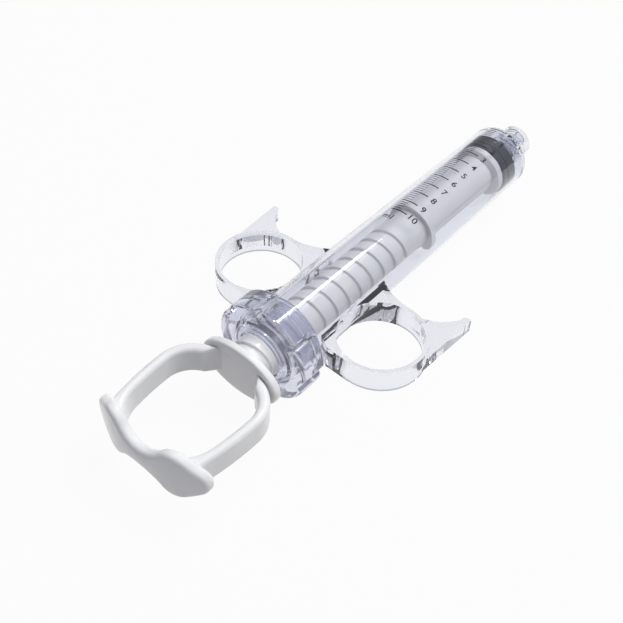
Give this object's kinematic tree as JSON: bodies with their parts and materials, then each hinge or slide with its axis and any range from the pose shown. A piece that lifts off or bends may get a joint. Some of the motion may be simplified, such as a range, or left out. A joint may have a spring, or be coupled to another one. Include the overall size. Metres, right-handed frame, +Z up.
{
  "type": "bone cement syringe",
  "caption": "Ten millilitre three-ring screw syringe for bone cement, with a turning nut that winds the threaded plunger, and a luer lock nozzle.",
  "frame": {"origin": "centre of the bounding box at its base, where the lying syringe meets the table", "axes": "+X along the barrel towards the nozzle, +Y to the left finger ring, +Z up; the barrel's axis is level, 12.16 mm above the table"},
  "size_m": [0.158, 0.0656, 0.0256],
  "materials": {
    "clear_plastic": "clear, polished",
    "white_plastic": "smooth gloss",
    "black_rubber": "smooth, slightly shiny"
  },
  "bodies": {
    "barrel": {"barrel": "clear_plastic"},
    "nut": {"turning_nut": "clear_plastic"},
    "plunger": {"plunger": "white_plastic", "gasket": "black_rubber"},
    "luer_collar": {"luer_lock_collar": "clear_plastic"}
  },
  "joints": [
    {"name": "nut_turn", "type": "hinge", "parent": "barrel", "child": "nut", "pos_m": [-0.03447, 0, 0.01216], "axis": [1, 0, 0], "range_deg": [-195, 3480]},
    {"name": "plunger_slide", "type": "slide", "parent": "barrel", "child": "plunger", "axis": [1, 0, 0], "range_m": [-0.0465, 0.0027]},
    {"name": "luer_collar_spin", "type": "hinge", "parent": "barrel", "child": "luer_collar", "pos_m": [0.07377, 0, 0.01216], "axis": [1, 0, 0], "continuous": true}
  ],
  "couplings": [
    {"joint": "plunger_slide", "follows": "nut_turn", "m_per_rad": -0.00076394}
  ]
}
